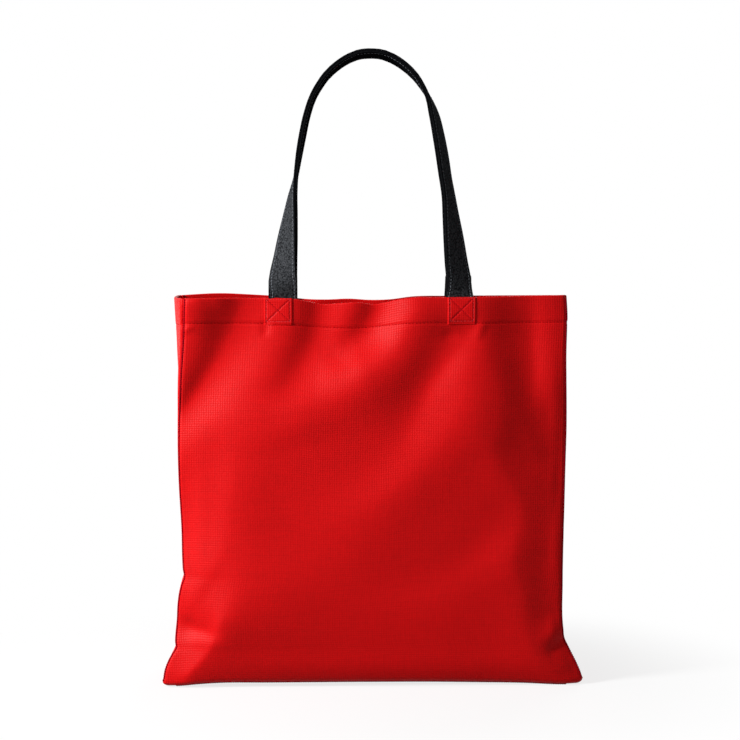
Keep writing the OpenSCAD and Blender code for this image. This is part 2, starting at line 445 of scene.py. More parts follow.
def fold(x, z, marks, height, widths, ends=(0.3, 0.2), narrow=1.0, sharp=2.0):
    px, pz = curve_through(marks, FOLD_STEPS + 1)
    near, side, along = np.full(x.shape, 1e9), np.zeros(x.shape), np.zeros(x.shape)
    for k in range(FOLD_STEPS):
        ux, uz = px[k + 1] - px[k], pz[k + 1] - pz[k]
        size = math.hypot(ux, uz)
        dx, dz = x - px[k], z - pz[k]
        share = np.clip((dx * ux + dz * uz) / size ** 2, 0, 1)
        gap = np.hypot(dx - share * ux, dz - share * uz)
        closer = gap < near
        near = np.where(closer, gap, near)
        side = np.where(closer, (dx * uz - dz * ux) / size, side)
        along = np.where(closer, (k + share) / FOLD_STEPS, along)
    lean = 0.5 + 0.5 * np.clip(side / np.maximum(near, 1e-6), -1, 1)
    width = (widths[0] + (widths[1] - widths[0]) * lean) * (1 + (narrow - 1) * along)
    rise = ends[0] + (1 - ends[0]) * soft_step(0, 0.45, along)
    fade = ends[1] + (1 - ends[1]) * (1 - soft_step(0.55, 1, along))
    swell = np.where(along < 0.5, rise, fade)
    return height * swell * np.exp(-(near / width) ** sharp)


def add_folds(x, z, folds):
    return sum(fold(x, z, **one) for one in folds)


print("a fold's line has", FOLD_STEPS, "steps")

# %% The pillow of the front
pillow_up = line_through([
    (0, 0.211), (15, 0.596), (40, 0.797), (75, 0.977), (110, 1.05), (150, 1.03),
    (210, 0.832), (280, 0.706), (340, 0.251), (BAG_H + 4, 0.339)])
PILLOW_MM = 18


def front_pillow(x, z):
    left, right = front_left(z), front_right(z)
    u = np.clip((2 * x - left - right) / (right - left), -1, 1)
    left_slope = 0.68 * u ** 2 + 0.32 * u ** 6
    right_slope = 0.17 * u ** 2 + 0.15 * u ** 4 + 0.23 * soft_step(0.35, 1, u)
    steep = np.where(u < 0, left_slope, right_slope)
    return PILLOW_MM * pillow_up(z) * (1 - steep)


print("pillow in the middle", round(float(front_pillow(np.array(0.0), np.array(150.0))), 1), "mm")

# %% [markdown]
# The folds are read from left to right: a hollow under the left rim corner, long soft rolls from
# the right hem towards the lower left, a firm ridge down the right side, and pinched ears with
# small tucks beside them. A fold's two widths are left and right of its line as it runs from the
# first mark to the last, and a negative height is a hollow.

# %% The folds of the front
FRONT_FOLDS = [
    # the hollow under the left corner of the rim, and the swell at the corner
    dict(marks=[(-123, 369), (-144, 323), (-199, 241)],
         height=-8.7, widths=(44, 26), ends=(1, 0.4), narrow=0.35),
    dict(marks=[(-194, 364), (-154, 378)], height=5.4, widths=(13, 24), ends=(0, 0.6)),
    # broad swells down the left side
    dict(marks=[(-90, 295), (-88, 281), (-77, 227)], height=3.7, widths=(56, 37), ends=(0, 0.3)),
    dict(marks=[(-130, 284), (-127, 246), (-154, 66)], height=4.7, widths=(38, 24), ends=(0, 1)),
    dict(marks=[(-79, 155), (-92, 110), (-131, 9)], height=5, widths=(54, 56), ends=(0, 0.2)),
    # two tucks that hang from the hem, left and right of the middle
    dict(marks=[(-45, 391), (-55, 335), (-92, 271)], height=-8.8, widths=(24, 20), ends=(1, 0.25)),
    dict(marks=[(12, 392), (-5, 347), (-30, 322)], height=-6.3, widths=(19, 16), ends=(1, 0.6)),
    # long rolls from the right hem towards the lower left, with a hollow between them
    dict(marks=[(43, 359), (25, 324), (-13, 301), (-56, 305)],
         height=8.9, widths=(31, 22), ends=(1, 0.2)),
    dict(marks=[(91, 341), (53, 295), (34, 255)], height=-3.2, widths=(14, 22), ends=(1, 0.45)),
    dict(marks=[(96, 357), (92, 275), (67, 233), (20, 187), (-71, 139)],
         height=5.7, widths=(35, 26), ends=(0.75, 0)),
    # the firm ridge down the right side and into the right ear
    dict(marks=[(104, 383), (100, 329), (117, 294), (113, 218)],
         height=5.1, widths=(27, 56), ends=(0.6, 0.55)),
    dict(marks=[(114, 233), (145, 171), (138, 115), (146, 100), (157, 35), (191, 1)],
         height=5.1, widths=(56, 30), ends=(1, 1), sharp=1.5),
    # hollows between that ridge and the right seam
    dict(marks=[(152, 386), (149, 272), (145, 260)], height=-3.8, widths=(12, 26), ends=(0.5, 0)),
    dict(marks=[(199, 244), (155, 226)], height=-2, widths=(22, 56), ends=(0.25, 0.35)),
    dict(marks=[(180, 216), (172, 148), (173, 72)], height=-3.5, widths=(8, 25), ends=(0.6, 1)),
    dict(marks=[(193, 19), (178, 53)], height=-3.7, widths=(15, 34), ends=(0.7, 0)),
    # the slack above the lower edge
    dict(marks=[(-42, 105), (60, 111), (129, 156)], height=-2.1, widths=(26, 22), ends=(0, 1)),
    # the pinched left ear, and small tucks along the left seam
    dict(marks=[(-146, 65), (-158, 36), (-177, 13)],
         height=5.9, widths=(34, 13), ends=(0.8, 1), sharp=1.2),
    dict(marks=[(-199, 65), (-185, 56), (-163, 58)], height=-5.3, widths=(19, 12), ends=(1, 0.7)),
    dict(marks=[(-211, 157), (-162, 156)], height=-6, widths=(56, 52), ends=(1, 0.35)),
    dict(marks=[(-170, 69), (-141, 119)], height=-2.0, widths=(9, 19), ends=(0.15, 0.3)),
    # sharp small tucks beside the ears
    dict(marks=[(-190, 65), (-172, 58), (-154, 53)], height=-2.3, widths=(6, 7), ends=(0.5, 0.5)),
    dict(marks=[(193, 48), (184, 39), (168, 31)], height=-2.1, widths=(5, 6), ends=(1, 0), sharp=1.5),
    dict(marks=[(190, 42), (198, 26), (206, 9)], height=-2.5, widths=(9, 10), ends=(0.6, 0.4)),
    # puckers that the stiff patches pull into the cloth below them
    dict(marks=[(-102, 352), (-103, 338)], height=-1.3, widths=(4, 4), ends=(1, 0)),
    dict(marks=[(64, 343), (86, 341)], height=-1.5, widths=(6, 7), ends=(0.3, 0.6)),
    dict(marks=[(106, 350), (99, 334)], height=1.2, widths=(4, 5), ends=(1, 0)),
    dict(marks=[(-183, 344), (-171, 350)], height=1.0, widths=(3, 3), ends=(1, 0)),
]
print("folds", len(FRONT_FOLDS))

# %% The face of the front
EAR_MM = 1.1
EAR_H = 24
HEM_STEP = 0.35
HEM_GROOVE = 0.5


def ear_fade(z):
    return np.exp(-(np.clip(z, 0, None) / EAR_H) ** 1.6)


def hem_relief(above_row, step=HEM_STEP, groove=HEM_GROOVE):
    """The doubled hem stands proud above its row of stitches, and the row pulls a groove."""
    return step * soft_step(-1.5, 1.5, above_row) - groove * np.exp(-(above_row / 1.3) ** 2)


def front_face(x, z):
    out = front_pillow(x, z) + add_folds(x, z, FRONT_FOLDS)
    # the right seam pulls the cloth back
    out = out * (0.64 + 0.36 * soft_step(-2, 13, front_right(z) - x))
    ear = EAR_MM * (soft_step(-140, -185, x) + soft_step(150, 190, x)) * ear_fade(z)
    return FRONT_Y - out - ear - hem_relief(z - front_hem(x))


print("the front stands at", round(float(front_face(np.array(0.0), np.array(200.0))), 1), "mm")

# %% [markdown]
# ## A sheet from its cut
# Every cloth part starts as a flat grid the size of its cut, and each point is then carried to
# its place on the bag. The grid's rows and columns need not be even: they lie closer where the
# cloth bends. The flat place of each point goes into the UV map, so the weave stays true to the
# cut, and Solidify gives the cloth its thickness.

# %% Selecting one piece, and turning its faces outwards
def only(piece):
    bpy.ops.object.select_all(action="DESELECT")
    piece.select_set(True)
    bpy.context.view_layer.objects.active = piece


def outward(piece):
    only(piece)
    bpy.ops.object.mode_set(mode="EDIT")
    bpy.ops.mesh.select_all(action="SELECT")
    bpy.ops.mesh.normals_make_consistent(inside=False)
    bpy.ops.object.mode_set(mode="OBJECT")


def new_piece(name):
    """Names the mesh that was just added."""
    piece = bpy.context.object
    piece.name = name
    piece.data.name = name
    return piece


def spots(piece):
    """The places of all points of a mesh, one row each."""
    places = np.empty(len(piece.data.vertices) * 3)
    piece.data.vertices.foreach_get("co", places)
    return places.reshape(-1, 3)


def move_to(piece, places_mm):
    piece.data.vertices.foreach_set("co", (places_mm * MM).ravel())
    piece.data.update()


# %% A flat grid, laid out and thickened
CLOTH_MM = 0.9


def flat_grid(name, across, along):
    bpy.ops.object.select_all(action="DESELECT")
    bpy.ops.mesh.primitive_grid_add(
        x_subdivisions=len(across) - 1, y_subdivisions=len(along) - 1, size=1)
    piece = new_piece(name)
    spot = spots(piece)
    column = np.rint((spot[:, 0] + 0.5) * (len(across) - 1)).astype(int)
    row = np.rint((spot[:, 1] + 0.5) * (len(along) - 1)).astype(int)
    return piece, np.asarray(across)[column], np.asarray(along)[row]


def lay_out(piece, points_mm, cut_mm):
    move_to(piece, np.column_stack(points_mm))
    corner = np.empty(len(piece.data.loops), int)
    piece.data.loops.foreach_get("vertex_index", corner)
    layer = piece.data.uv_layers[0]
    layer.name = "cut"
    layer.data.foreach_set("uv", (np.column_stack(cut_mm) * MM)[corner].ravel())


def finish_cloth(piece, thickness_mm=CLOTH_MM, offset=0):
    """Gives a laid-out sheet its thickness and its canvas."""
    only(piece)
    wall = piece.modifiers.new("thickness", "SOLIDIFY")
    wall.thickness = thickness_mm * MM
    wall.offset = offset
    bpy.ops.object.modifier_apply(modifier=wall.name)
    outward(piece)
    bpy.ops.object.shade_smooth()
    piece.data.materials.append(canvas)
    print(piece.name, len(piece.data.polygons), "faces")


def steps(*runs):
    places = []
    for start, end, spacing in runs:
        count = max(1, round((end - start) / spacing))
        places.extend(np.linspace(start, end, count, endpoint=False))
    places.append(runs[-1][1])
    return np.array(places)


print("cloth", CLOTH_MM, "mm thick")

# %% [markdown]
# ## Front panel with its turned-in hem
# The panel and its hem are one piece of cloth, as on the real bag: it comes up the outside, turns
# over at the rim and runs 25 mm down inside. At the sides it rolls back into the seam with the
# gusset, and at the bottom it curls under to the base.

# %% A panel from its cut
SEAM_R = 3.0
SEAM_IN = 3.0
FOOT_R = 4.5
RIM_R = 0.75
seam_run = SEAM_R * math.pi / 2
foot_run = FOOT_R * math.pi / 2
rim_run = RIM_R * math.pi
wall_run = BAG_H - FOOT_R - RIM_R
wall_top = foot_run + wall_run
rim_end = wall_top + rim_run
PANEL_ROWS = steps(
    (0, foot_run, 1.0), (foot_run, foot_run + 40, 2.0), (foot_run + 40, wall_top - 30, 2.7),
    (wall_top - 30, wall_top - 19, 0.9), (wall_top - 19, wall_top, 1.9),
    (wall_top, rim_end, 0.3), (rim_end, rim_end + HEM_H, 3.0))
PANEL_COLUMNS = steps((0, 0.024, 0.0026), (0.024, 0.976, 0.0072), (0.976, 1, 0.0026))


def along_cut(run):
    """How far a point is round the foot, up the wall, round the rim and down the hem."""
    foot = np.clip(run / foot_run, 0, 1)
    wall = np.clip((run - foot_run) / wall_run, 0, 1)
    turn = np.clip((run - wall_top) / rim_run, 0, 1) * math.pi
    return foot, wall, turn, np.clip(run - rim_end, 0, HEM_H)


print("panel rows", len(PANEL_ROWS), "columns", len(PANEL_COLUMNS))

# %% Carry the cut to the bag
def panel_points(share, run, left, right, rim, foot, face, side):
    curl, wall, turn, inner = along_cut(run)
    curl = curl * math.pi / 2
    z = BAG_H * wall
    for _ in range(2):
        width = right(z) - left(z) + 2 * (seam_run - SEAM_R + SEAM_IN)
        from_left, from_right = share * width - SEAM_IN, (1 - share) * width - SEAM_IN
        x = left(z) + SEAM_R + from_left - seam_run
        roll_l = np.clip(from_left / seam_run, 0, 1) * math.pi / 2
        roll_r = np.clip(from_right / seam_run, 0, 1) * math.pi / 2
        x = np.where(from_left < seam_run, left(z) + SEAM_R * (1 - np.cos(roll_l)), x)
        x = np.where(from_right < seam_run, right(z) - SEAM_R * (1 - np.cos(roll_r)), x)
        low, high = foot(x), rim(x) - RIM_R
        z = low + FOOT_R * (1 - np.cos(curl)) + wall * (high - low - FOOT_R)
        z = z + RIM_R * np.sin(turn) - inner
    roll = SEAM_R * (2 - np.sin(roll_l) - np.sin(roll_r))
    roll = roll + np.clip(-from_left, 0, None) + np.clip(-from_right, 0, None)
    depth = roll + FOOT_R * (1 - np.sin(curl)) + RIM_R * (1 - np.cos(turn))
    # inside, the hem is a little narrower than the panel
    tuck = 1 - 0.016 * np.clip(inner / 6, 0, 1)
    return x * tuck, face(x, z) + side * depth, z


def make_panel(name, left, right, rim, foot, face, side):
    piece, share, run = flat_grid(name, PANEL_COLUMNS, PANEL_ROWS)
    points = panel_points(share, run, left, right, rim, foot, face, side)
    cut_width = right(points[2]) - left(points[2])
    lay_out(piece, points, ((share - 0.5) * cut_width, run))
    finish_cloth(piece)
    return piece


front_cloth = make_panel("front_cloth", front_left, front_right, front_rim, front_foot, front_face, 1)

# %% [markdown]
# ## Back panel
# The back is the same cut. It hangs in two soft rolls and has no view of its own in the picture,
# so its folds are plain ones: a pillow, one slanting roll each way and pinched ears.

# %% Edges of the back panel
back_left = line_through([
    (0, -198), (3, -202), (9, -201.5), (20, -197), (34, -191), (48, -186.5), (100, -184.5),
    (200, -186), (300, -187), (BAG_H + 4, -187.5)])
back_right = line_through([
    (0, 198), (3, 202), (9, 201.5), (20, 197), (34, 191), (48, 186.5), (100, 184.5),
    (200, 186), (300, 187.5), (BAG_H + 4, 188)])
back_rim = rim_line([
    (-190, 0.1), (-150, 2.0), (-115, 0.5), (-86, -1.4), (-62, -4.0), (-42, -4.4), (-20, -3.6),
    (2, -4.8), (24, -4.0), (42, -1.6), (86, -0.8), (190, 0)])
back_foot = line_through([
    (-204, 0.5), (-170, 0.6), (-140, 2.2), (0, 3.0), (140, 2.2), (170, 0.6), (204, 0.5)])


def back_hem(x):
    return back_rim(x) - HEM_H


print("back rim width", round(float(back_right(BAG_H) - back_left(BAG_H)), 1))

# %% The back panel
BACK_Y = -FRONT_Y
BACK_PILLOW_MM = 9
BACK_EAR_MM = 4
CURL_MM = 2.4
BACK_STRAPS = (-87.5, 92.9)
BACK_FOLDS = [
    dict(marks=[(150, 340), (110, 262), (40, 186)], height=5.4, widths=(26, 24), ends=(0.3, 0.1)),
    dict(marks=[(-140, 322), (-120, 236), (-60, 150)], height=5.0, widths=(26, 26), ends=(0.3, 0.1)),
    dict(marks=[(20, 372), (8, 330), (-12, 300)], height=-4.6, widths=(16, 18), ends=(0.7, 0.2)),
    dict(marks=[(-30, 290), (-20, 230), (10, 160)], height=-3.6, widths=(20, 22), ends=(0.2, 0.1)),
    dict(marks=[(-60, 118), (10, 92), (84, 104)], height=-3.4, widths=(20, 24), ends=(0.2, 0.2)),
    dict(marks=[(168, 300), (150, 232), (146, 170)], height=-3.4, widths=(14, 18), ends=(0.3, 0.1)),
    dict(marks=[(-132, 120), (-150, 55), (-178, 6)], height=5.0, widths=(24, 26), ends=(0.3, 0.7)),
    dict(marks=[(132, 120), (150, 55), (178, 6)], height=5.0, widths=(26, 24), ends=(0.3, 0.7)),
]


def back_face(x, z):
    edge = np.minimum(x - back_left(z), back_right(z) - x)
    out = BACK_PILLOW_MM * pillow_up(z) * (1 - (1 - np.clip(edge / 85, 0, 1)) ** 2)
    out = out + add_folds(x, z, BACK_FOLDS)
    held = soft_step(-2, 22, edge) * 0.85 + 0.15
    ear = BACK_EAR_MM * ear_fade(z) * soft_step(140, 182, np.abs(x))
    # the hem curls inwards where no strap stiffens it
    curl = CURL_MM * np.clip(1 - (back_rim(x) - z) / 12, 0, 1.2) ** 2
    for strap in BACK_STRAPS:
        curl = curl * (1 - np.exp(-((x - strap) / 30) ** 4))
    return BACK_Y + out * held + ear + hem_relief(z - back_hem(x)) - curl


back_cloth = make_panel("back_cloth", back_left, back_right, back_rim, back_foot, back_face, -1)

# %% [markdown]
# ## Side gussets
# A gusset joins the two panels and gives the bag its depth. On the left it swells out at the
# mouth and shows as a narrow strip beside the front seam. A faint crease runs down its middle,
# where it folds when the bag is pressed flat. At the bottom it draws in between the ears.

# %% The swell, the lips and the dents of a gusset
GUSSET_COLUMNS = steps((0, 0.06, 0.006), (0.06, 0.94, 0.025), (0.94, 1, 0.006))
gusset_swell = {
    -1: line_through([(0, 0.0), (40, 0.0), (150, 1.0), (250, 1.0), (300, 2.0), (BAG_H + 4, 5.0)]),
    1: line_through([(0, 0.0), (40, 0.5), (150, 2.5), (250, 3.0), (300, 3.0), (BAG_H + 4, 2.5)]),
}
LIP_OUT = 4.0
gusset_lip = {
    -1: line_through([(0, 1.2), (240, 1.2), (290, 2.0), (BAG_H + 4, 4.0)]),
    1: line_through([(0, 1.2), (BAG_H + 4, 1.2)]),
}
# Dents, across from the middle of the gusset and up
GUSSET_FOLDS = [
    dict(marks=[(-34, 352), (-10, 306), (16, 268)], height=-2.6, widths=(12, 15), ends=(0.3, 0.1)),
    dict(marks=[(36, 262), (12, 214), (-14, 178)], height=-2.2, widths=(14, 12), ends=(0.3, 0.1)),
    dict(marks=[(-36, 152), (-8, 118), (30, 104)], height=-2.8, widths=(12, 13), ends=(0.4, 0.2)),
    dict(marks=[(34, 78), (10, 64), (-22, 60)], height=-2.4, widths=(10, 11), ends=(0.4, 0.3)),
]
print("gusset columns", len(GUSSET_COLUMNS), "dents", len(GUSSET_FOLDS))

# %% A gusset from its cut
GUSSET_FOOT = 0.8
CORNER_X = 186.0
SCOOP_MM = 15


def gusset_points(share, run, hand):
    front_edge, back_edge = (front_left, back_left) if hand < 0 else (front_right, back_right)
    curl, wall, turn, inner = along_cut(run)
    front_top, back_top = front_rim(hand * CORNER_X), back_rim(hand * CORNER_X)
    dip = -0.8 * np.sin(math.pi * share)
    high = front_top + (back_top - front_top) * share + dip - RIM_R
    z = GUSSET_FOOT + curl * FOOT_R + wall * (high - GUSSET_FOOT - FOOT_R)
    z = z + RIM_R * np.sin(turn) - inner
    front_x, back_x = front_edge(z), back_edge(z)
    front_y = front_face(front_x, z) + SEAM_R + SEAM_IN
    back_y = back_face(back_x, z) - SEAM_R - SEAM_IN
    lip = gusset_lip[hand](z)
    near_end = np.clip(np.minimum(share, 1 - share) / 0.05, 0, 1) * math.pi
    out = lip * (1 - np.cos(near_end)) / 2
    y = front_y + (back_y - front_y) * share
    y = y - np.where(share < 0.5, 1, -1) * LIP_OUT * np.sin(near_end)
    belly = 1 - np.abs(2 * share - 1) ** 2.4
    crease = -1.2 * np.exp(-((share - 0.5) / 0.03) ** 2) * soft_step(20, 80, z)
    out = out + gusset_swell[hand](z) * belly + crease
    out = out + add_folds((share - 0.5) * 2 * BACK_Y, z, GUSSET_FOLDS) * belly
    scoop = SCOOP_MM * (1 - soft_step(0, 48, z)) * (1 - np.abs(2 * share - 1) ** 2)
    x = front_x + (back_x - front_x) * share + hand * (out - scoop)
    hem = hem_relief(z - high + HEM_H, 0.3, 0.4)
    return x + hand * (hem - RIM_R * (1 - np.cos(turn))), y, z


def make_gusset(name, hand):
    piece, share, run = flat_grid(name, GUSSET_COLUMNS, PANEL_ROWS)
    points = gusset_points(share, run, hand)
    lay_out(piece, points, ((share - 0.5) * 2 * BACK_Y, run))
    finish_cloth(piece)
    return piece


left_gusset = make_gusset("left_gusset_cloth", -1)
right_gusset = make_gusset("right_gusset_cloth", 1)

# %% [markdown]
# ## Base
# The base lies on the floor. It is one sheet that sags between the seams, with a low crease along
# its middle, where it folds with the bag.

# %% The base
BASE_LIFT = 0.75
BASE_L = 400
BASE_D = 90


def base_points(side, depth):
    at_foot = np.zeros(depth.shape)
    left = gusset_points(depth, at_foot, -1)[0] + 1
    right = gusset_points(depth, at_foot, 1)[0] - 1
    x = left + (right - left) * side
    front_y = front_face(x, front_foot(x)) + FOOT_R
    back_y = back_face(x, back_foot(x)) - FOOT_R
    y = front_y + (back_y - front_y) * depth
    rim_z = front_foot(x) + (back_foot(x) - front_foot(x)) * depth
    inside = np.minimum(np.minimum(side, 1 - side) * 12, np.minimum(depth, 1 - depth) * 4)
    lying = soft_step(0, 1, inside)
    wrinkle = 0.5 + 0.35 * np.sin(x / 23 + 1.1 * np.sin(y / 19)) * np.sin(y / 17 + 0.6)
    crease = 1.6 * np.exp(-((y - 0.5) / 2.2) ** 2) * lying
    z = rim_z * (1 - lying) + (BASE_LIFT + wrinkle) * lying + crease
    return x, y, z


base_cloth, side, depth = flat_grid("base_cloth", np.linspace(0, 1, 131), np.linspace(0, 1, 45))
lay_out(base_cloth, base_points(side, depth), ((side - 0.5) * BASE_L, (depth - 0.5) * BASE_D))
finish_cloth(base_cloth)

# %% [markdown]
# ## Patches over the strap ends
# A square of canvas is sewn over the hem where each strap end sits. Its edges are turned under,
# so it is a little puffed, and the box and the cross of stitches pull narrow channels into it.

# %% The relief of a patch
PATCH_W = 27.5
PATCH_H = HEM_H + 1.5
PATCH_PUFF = 1.0
BOX_INSET = 2.4
BOX_RAISE = 1.5
BOX_W = PATCH_W / 2 - BOX_INSET
BOX_H = PATCH_H / 2 - BOX_INSET


def stitch_channel(a, b):
    b = b - BOX_RAISE
    box = np.minimum(BOX_W - np.abs(a), BOX_H - np.abs(b))
    within = box > 0
    cross = np.minimum(np.abs(a / BOX_W - b / BOX_H), np.abs(a / BOX_W + b / BOX_H)) * BOX_W * 0.7
    depth = np.exp(-(box / 0.6) ** 2)
    return np.maximum(depth, np.where(within, np.exp(-(cross / 0.65) ** 2), 0))


def patch_height(a, b):
    edge = np.minimum(PATCH_W / 2 - np.abs(a), PATCH_H / 2 - np.abs(b))
    rise = np.sqrt(np.clip(1 - (1 - np.clip(edge / 1.2, 0, 1)) ** 2, 0, 1))
    return PATCH_PUFF * rise * (1 - 0.5 * stitch_channel(a, b)) - 0.15 * (1 - rise)


print("patch", PATCH_W, "by", round(PATCH_H, 1), "mm")

# %% Patches
PATCH_T = 0.5
patch_places = {"front_left": -90.0, "front_right": 86.2,
                "back_left": BACK_STRAPS[0], "back_right": BACK_STRAPS[1]}


def on_panel(x, z, lift, front):
    """Points at a height above a panel, and the directions in which they stand off."""
    face, side = (front_face, -1) if front else (back_face, 1)
    e = 0.5
    y = face(x, z)
    slope_x = (face(x + e, z) - face(x - e, z)) / (2 * e)
    slope_z = (face(x, z + e) - face(x, z - e)) / (2 * e)
    size = np.sqrt(1 + slope_x ** 2 + slope_z ** 2)
    normal = np.stack([-side * slope_x, np.full_like(slope_x, side), -side * slope_z]) / size
    lift = lift + CLOTH_MM / 2
    return np.stack([x + normal[0] * lift, y + normal[1] * lift, z + normal[2] * lift]), normal


def on_patch(place, a, b, lift):
    """Points on a patch, from places across and up from its middle."""
    front = place.startswith("front")
    rim = front_rim if front else back_rim
    x = patch_places[place]
    z = float(rim(x)) - PATCH_H / 2 + 0.2
    return on_panel(x + a, z + b, patch_height(a, b) + lift, front)


patches = {}
for place in patch_places:
    grid = np.linspace(-0.5, 0.5, 45)
    patch, a, b = flat_grid(place + "_canvas_patch", grid * PATCH_W, grid * PATCH_H)
    lay_out(patch, on_patch(place, a, b, 0)[0], (a, b))
    finish_cloth(patch, PATCH_T, -1 if place.startswith("front") else 1)
    patches[place] = patch

# %% [markdown]
# ## One stitch, sewn many times
# A lockstitch shows as a row of short dashes. One dash is modelled from a small sphere, drawn out
# and flattened, and a copy of it is set down at every step along a seam line. The whole row is
# one mesh, because a sewing machine makes it in one go.

# %% The stitch
STITCH_MM = 2.7
THREAD_MM = 0.75
bpy.ops.object.select_all(action="DESELECT")
bpy.ops.mesh.primitive_uv_sphere_add(
    segments=6, ring_count=5, radius=0.5, rotation=(0, math.pi / 2, 0))
one_stitch = bpy.context.object
bpy.ops.object.transform_apply(location=True, rotation=True, scale=True)
bpy.ops.object.mode_set(mode="EDIT")
bpy.ops.mesh.select_all(action="SELECT")
bpy.ops.transform.resize(value=(STITCH_MM * MM, THREAD_MM * MM, THREAD_MM * MM * 0.8))
bpy.ops.object.mode_set(mode="OBJECT")
dash = spots(one_stitch)
dash_faces = [list(p.vertices) for p in one_stitch.data.polygons]
bpy.data.objects.remove(one_stitch)
print("a stitch has", len(dash_faces), "faces")

# %% Sew a row
def place_at(at, run, values):
    return np.column_stack([np.interp(at, run, values[:, k]) for k in range(3)])


def square_to(ahead, vectors):
    """Unit vectors square to a direction, as near to the given ones as they can be."""
    return unit(vectors - ahead * np.sum(vectors * ahead, axis=1)[:, None])


def sew(name, rows, finish, pitch, girth=1.0):
    dashes, faces = [], []
    for line, normals in rows:
        run = run_along(line)
        count = max(1, int(run[-1] / pitch))
        at = (np.arange(count) + 0.5) * run[-1] / count
        forward = unit(place_at(at + 0.4, run, line) - place_at(at - 0.4, run, line))
        up = square_to(forward, place_at(at, run, normals))
        across = np.cross(up, forward)
        for m, f, a, u in zip(place_at(at, run, line) * MM, forward, across, up):
            start = len(dashes) * len(dash)
            dashes.append(m + dash[:, :1] * f + (dash[:, 1:2] * a + dash[:, 2:] * u) * girth)
            faces.extend([[i + start for i in face] for face in dash_faces])
    mesh = bpy.data.meshes.new(name)
    mesh.from_pydata(np.concatenate(dashes).tolist(), [], faces)
    piece = bpy.data.objects.new(name, mesh)
    bpy.context.collection.objects.link(piece)
    outward(piece)
    bpy.ops.object.shade_smooth()
    mesh.materials.append(finish)
    print(name, len(dashes), "stitches")
    return piece


# %% [markdown]
# ## Hem rows, patch rows and seam rows
# One row of red thread holds the hem all round, outside and inside. On each patch a box and a
# cross hold the strap end behind it; the box is drawn in a paler thread, a painted highlight, and
# the cross in dark maroon thread, painted shade of its channels. The seams of the front are
# overlocked, so thick thread wraps their rolled edges, drawn dark maroon as painted shade of the
# seam grooves.

# %% Hem rows
HEM_PITCH = 3.4
ROW_Z = 350.0


def hem_line(front, inset):
    """The line of a panel's hem row, and where it starts and ends."""
    if front:
        hem, left, right = front_hem, front_left, front_right
    else:
        hem, left, right = back_hem, back_left, back_right
    return hem, float(left(ROW_Z)) + inset, float(right(ROW_Z)) - inset


def hem_row(panel):
    front = panel == "front"
    hem, low, high = hem_line(front, 4)
    ends = [low]
    for side in ("left", "right"):
        middle = patch_places[f"{panel}_{side}"]
        ends += [middle - PATCH_W / 2 - 1, middle + PATCH_W / 2 + 1]
    ends.append(high)
    rows = []
    for start, end in zip(ends[0::2], ends[1::2]):
        x = np.linspace(start, end, 120)
        points, normals = on_panel(x, hem(x), 0.02, front)
        rows.append((points.T, normals.T))
    return rows


def hem_row_inside(panel):
    front = panel == "front"
    hem, low, high = hem_line(front, 8)
    x = np.linspace(low, high, 240)
    points, normals = on_panel(x, hem(x) + 1.6, 0.0, front)
    inward = 2 * RIM_R + CLOTH_MM + 0.1
    return [((points - normals * inward).T, -normals.T)]


def gusset_row(hand):
    share = np.linspace(0.07, 0.93, 60)
    run = np.full(share.shape, wall_top - HEM_H + 0.6)
    points = np.stack(gusset_points(share, run, hand))
    normals = np.zeros_like(points)
    normals[0] = hand
    return [((points + normals * (CLOTH_MM / 2 + 0.1)).T, normals.T)]


print("the front hem has", len(hem_row("front")), "rows between its patches")

# %% Patch rows
PATCH_PITCH = 2.9
PATCH_GIRTH = 0.8
box_corners = [(-BOX_W, BOX_RAISE - BOX_H), (BOX_W, BOX_RAISE - BOX_H),
               (BOX_W, BOX_RAISE + BOX_H), (-BOX_W, BOX_RAISE + BOX_H)]
patch_lines = {"box": [(0, 1), (1, 2), (2, 3), (3, 0)], "cross": [(0, 2), (1, 3)]}


def patch_rows(place, kind):
    rows = []
    for start, end in patch_lines[kind]:
        a, b = np.linspace(box_corners[start], box_corners[end], 40).T
        points, normals = on_patch(place, a, b, 0.1)
        rows.append((points.T, normals.T))
    return rows


print("lines on a patch", sum(len(lines) for lines in patch_lines.values()))

# %% Seam rows
SEAM_PITCH = 2.2
SEAM_GIRTH = 3.0
SEAM_OUT = 0.75
SEAM_TURN = math.radians(38)


def seam_rows():
    z = np.linspace(5, BAG_H - 2, 200)
    side, fore = math.cos(SEAM_TURN), math.sin(SEAM_TURN)
    rows = []
    for edge, hand in ((front_left, -1), (front_right, 1)):
        x = edge(z)
        y = front_face(x, z) + SEAM_R * (1 - fore) - SEAM_OUT * fore
        x = x + hand * (SEAM_OUT * side - SEAM_R * (1 - side))
        out = np.tile([hand * side, -fore, 0.0], (len(z), 1))
        rows.append((np.column_stack([x, y, z]), out))
    x = np.linspace(-190, 190, 240)
    y = front_face(x, front_foot(x)) + FOOT_R * 0.6
    down = np.tile([0.0, 0.0, -1.0], (len(x), 1))
    rows.append((np.column_stack([x, y, front_foot(x) - 0.1]), down))
    return rows


print("seam rows", len(seam_rows()))

